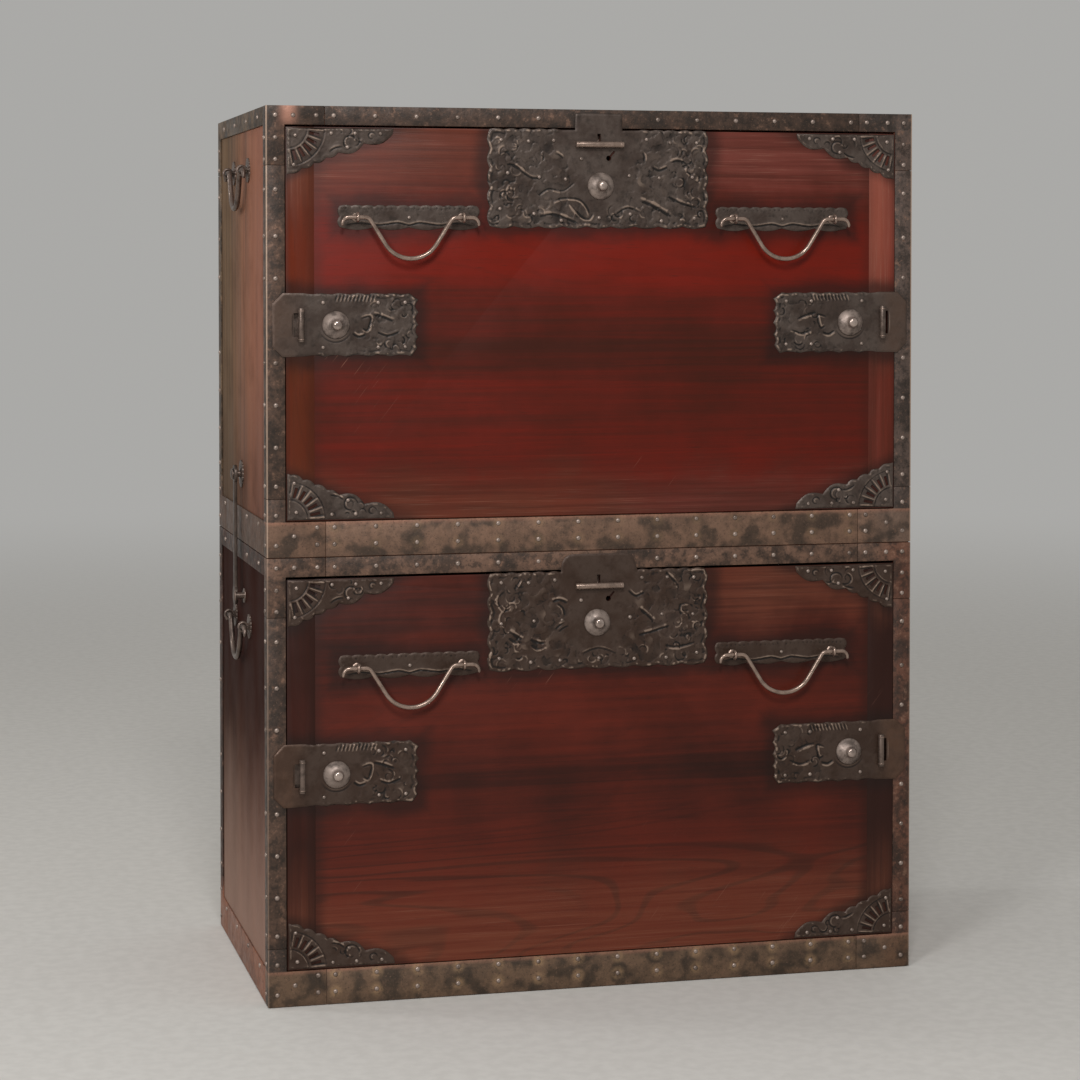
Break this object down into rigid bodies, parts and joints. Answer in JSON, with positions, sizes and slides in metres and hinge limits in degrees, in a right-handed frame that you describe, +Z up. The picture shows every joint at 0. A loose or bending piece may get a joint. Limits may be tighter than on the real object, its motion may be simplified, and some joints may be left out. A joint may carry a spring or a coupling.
{
  "type": "sea chest",
  "caption": "Stacking pair of iron-bound wooden sea chests, each with a drop-fit door, bolts, bail pulls, carrying handles, a shelf and a drawer inside.",
  "frame": {"origin": "centre of the footprint on the floor, under the lower chest", "axes": "+Z up, the doors face -Y, +X is to the right of someone facing the doors"},
  "size_m": [0.8226, 0.4401, 1.05],
  "materials": {
    "case_wood": "rubbed dark lacquer over zelkova boards, worn",
    "inner_wood": "bare planed paulownia",
    "lower_door_wood": "dark red-brown wiped lacquer with the grain showing",
    "upper_door_wood": "red-brown wiped lacquer with the grain showing",
    "strap_iron": "forged and rubbed iron sheet with brown patina",
    "plate_iron": "chased wrought iron sheet, oiled dark",
    "nail_steel": "domed nail heads, rubbed bright",
    "boss_steel": "hammered domed boss, rubbed bright",
    "rod_steel": "forged rod, polished by handling"
  },
  "bodies": {
    "lower_chest": {"lower_left_side": "case_wood", "lower_right_side": "case_wood", "lower_top_board": "case_wood", "lower_bottom_board": "case_wood", "lower_back_board": "inner_wood", "lower_shelf": "inner_wood", "lower_sill": "case_wood", "lower_runners": "inner_wood", "lower_front_straps": "strap_iron", "lower_edge_straps": "strap_iron", "lower_strap_nails": "nail_steel", "lower_side_fittings": "plate_iron"},
    "lower_door": {"lower_door_board": "lower_door_wood", "lower_door_battens": "lower_door_wood", "lower_corner_plates": "plate_iron", "lower_lock_plate": "plate_iron", "lower_latch_plates": "plate_iron", "lower_boss_studs": "boss_steel", "lower_door_nails": "nail_steel", "lower_lock_case": "plate_iron", "lower_pull_mounts": "plate_iron"},
    "lower_lock_bolt": {"lower_lock_bolt": "rod_steel"},
    "lower_left_latch_bolt": {"lower_left_latch_bolt": "rod_steel"},
    "lower_right_latch_bolt": {"lower_right_latch_bolt": "rod_steel"},
    "lower_left_pull": {"lower_left_pull": "rod_steel"},
    "lower_right_pull": {"lower_right_pull": "rod_steel"},
    "lower_left_carry_handle": {"lower_left_carry_handle": "rod_steel"},
    "lower_right_carry_handle": {"lower_right_carry_handle": "rod_steel"},
    "lower_drawer": {"lower_drawer": "inner_wood"},
    "upper_chest": {"upper_left_side": "case_wood", "upper_right_side": "case_wood", "upper_top_board": "case_wood", "upper_bottom_board": "case_wood", "upper_back_board": "inner_wood", "upper_shelf": "inner_wood", "upper_sill": "case_wood", "upper_runners": "inner_wood", "upper_front_straps": "strap_iron", "upper_edge_straps": "strap_iron", "upper_strap_nails": "nail_steel", "upper_side_fittings": "plate_iron"},
    "upper_door": {"upper_door_board": "upper_door_wood", "upper_door_battens": "upper_door_wood", "upper_corner_plates": "plate_iron", "upper_lock_plate": "plate_iron", "upper_latch_plates": "plate_iron", "upper_boss_studs": "boss_steel", "upper_door_nails": "nail_steel", "upper_lock_case": "plate_iron", "upper_pull_mounts": "plate_iron"},
    "upper_lock_bolt": {"upper_lock_bolt": "rod_steel"},
    "upper_left_latch_bolt": {"upper_left_latch_bolt": "rod_steel"},
    "upper_right_latch_bolt": {"upper_right_latch_bolt": "rod_steel"},
    "upper_left_pull": {"upper_left_pull": "rod_steel"},
    "upper_right_pull": {"upper_right_pull": "rod_steel"},
    "upper_left_carry_handle": {"upper_left_carry_handle": "rod_steel"},
    "upper_right_carry_handle": {"upper_right_carry_handle": "rod_steel"},
    "upper_drawer": {"upper_drawer": "inner_wood"},
    "left_hook": {"left_hook": "rod_steel"},
    "right_hook": {"right_hook": "rod_steel"}
  },
  "joints": [
    {"name": "lower_door_lift_out", "type": "slide", "parent": "lower_chest", "child": "lower_door", "axis": [0, -0.9063, 0.4226], "range_m": [0, 0.45]},
    {"name": "lower_drawer_slide", "type": "slide", "parent": "lower_chest", "child": "lower_drawer", "axis": [0, -1, 0], "range_m": [0, 0.27]},
    {"name": "lower_lock_bolt_slide", "type": "slide", "parent": "lower_door", "child": "lower_lock_bolt", "axis": [0, 0, 1], "range_m": [0, 0.011]},
    {"name": "lower_left_latch_slide", "type": "slide", "parent": "lower_door", "child": "lower_left_latch_bolt", "axis": [-1, 0, 0], "range_m": [0, 0.0065]},
    {"name": "lower_left_pull_swing", "type": "hinge", "parent": "lower_door", "child": "lower_left_pull", "pos_m": [-0.23, -0.224, 0.396], "axis": [-1, 0, 0], "range_deg": [0, 170]},
    {"name": "lower_left_carry_swing", "type": "hinge", "parent": "lower_chest", "child": "lower_left_carry_handle", "pos_m": [-0.4045, 0.006, 0.427], "axis": [0, 1, 0], "range_deg": [0, 100]},
    {"name": "lower_right_latch_slide", "type": "slide", "parent": "lower_door", "child": "lower_right_latch_bolt", "axis": [1, 0, 0], "range_m": [0, 0.0065]},
    {"name": "lower_right_pull_swing", "type": "hinge", "parent": "lower_door", "child": "lower_right_pull", "pos_m": [0.23, -0.224, 0.396], "axis": [-1, 0, 0], "range_deg": [0, 170]},
    {"name": "lower_right_carry_swing", "type": "hinge", "parent": "lower_chest", "child": "lower_right_carry_handle", "pos_m": [0.4045, 0.006, 0.427], "axis": [0, -1, 0], "range_deg": [0, 100]},
    {"name": "upper_chest_lift", "type": "slide", "parent": "lower_chest", "child": "upper_chest", "axis": [0, 0, 1], "range_m": [0, 0.2]},
    {"name": "upper_door_lift_out", "type": "slide", "parent": "upper_chest", "child": "upper_door", "axis": [0, -0.9063, 0.4226], "range_m": [0, 0.45]},
    {"name": "upper_drawer_slide", "type": "slide", "parent": "upper_chest", "child": "upper_drawer", "axis": [0, -1, 0], "range_m": [0, 0.27]},
    {"name": "upper_lock_bolt_slide", "type": "slide", "parent": "upper_door", "child": "upper_lock_bolt", "axis": [0, 0, 1], "range_m": [0, 0.011]},
    {"name": "upper_left_latch_slide", "type": "slide", "parent": "upper_door", "child": "upper_left_latch_bolt", "axis": [-1, 0, 0], "range_m": [0, 0.0065]},
    {"name": "upper_left_pull_swing", "type": "hinge", "parent": "upper_door", "child": "upper_left_pull", "pos_m": [-0.23, -0.224, 0.921], "axis": [-1, 0, 0], "range_deg": [0, 170]},
    {"name": "upper_left_carry_swing", "type": "hinge", "parent": "upper_chest", "child": "upper_left_carry_handle", "pos_m": [-0.4045, 0.006, 0.98], "axis": [0, 1, 0], "range_deg": [0, 100]},
    {"name": "upper_right_latch_slide", "type": "slide", "parent": "upper_door", "child": "upper_right_latch_bolt", "axis": [1, 0, 0], "range_m": [0, 0.0065]},
    {"name": "upper_right_pull_swing", "type": "hinge", "parent": "upper_door", "child": "upper_right_pull", "pos_m": [0.23, -0.224, 0.921], "axis": [-1, 0, 0], "range_deg": [0, 170]},
    {"name": "upper_right_carry_swing", "type": "hinge", "parent": "upper_chest", "child": "upper_right_carry_handle", "pos_m": [0.4045, 0.006, 0.98], "axis": [0, -1, 0], "range_deg": [0, 100]},
    {"name": "left_hook_swing", "type": "hinge", "parent": "upper_chest", "child": "left_hook", "pos_m": [-0.4045, 0.01, 0.608], "axis": [1, 0, 0], "range_deg": [-8, 100]},
    {"name": "right_hook_swing", "type": "hinge", "parent": "upper_chest", "child": "right_hook", "pos_m": [0.4045, 0.01, 0.608], "axis": [1, 0, 0], "range_deg": [-8, 100]}
  ],
  "couplings": [
    {"joint": "lower_drawer_slide", "follows": "lower_door_lift_out", "ratio": 0.6},
    {"joint": "upper_drawer_slide", "follows": "upper_door_lift_out", "ratio": 0.6}
  ]
}
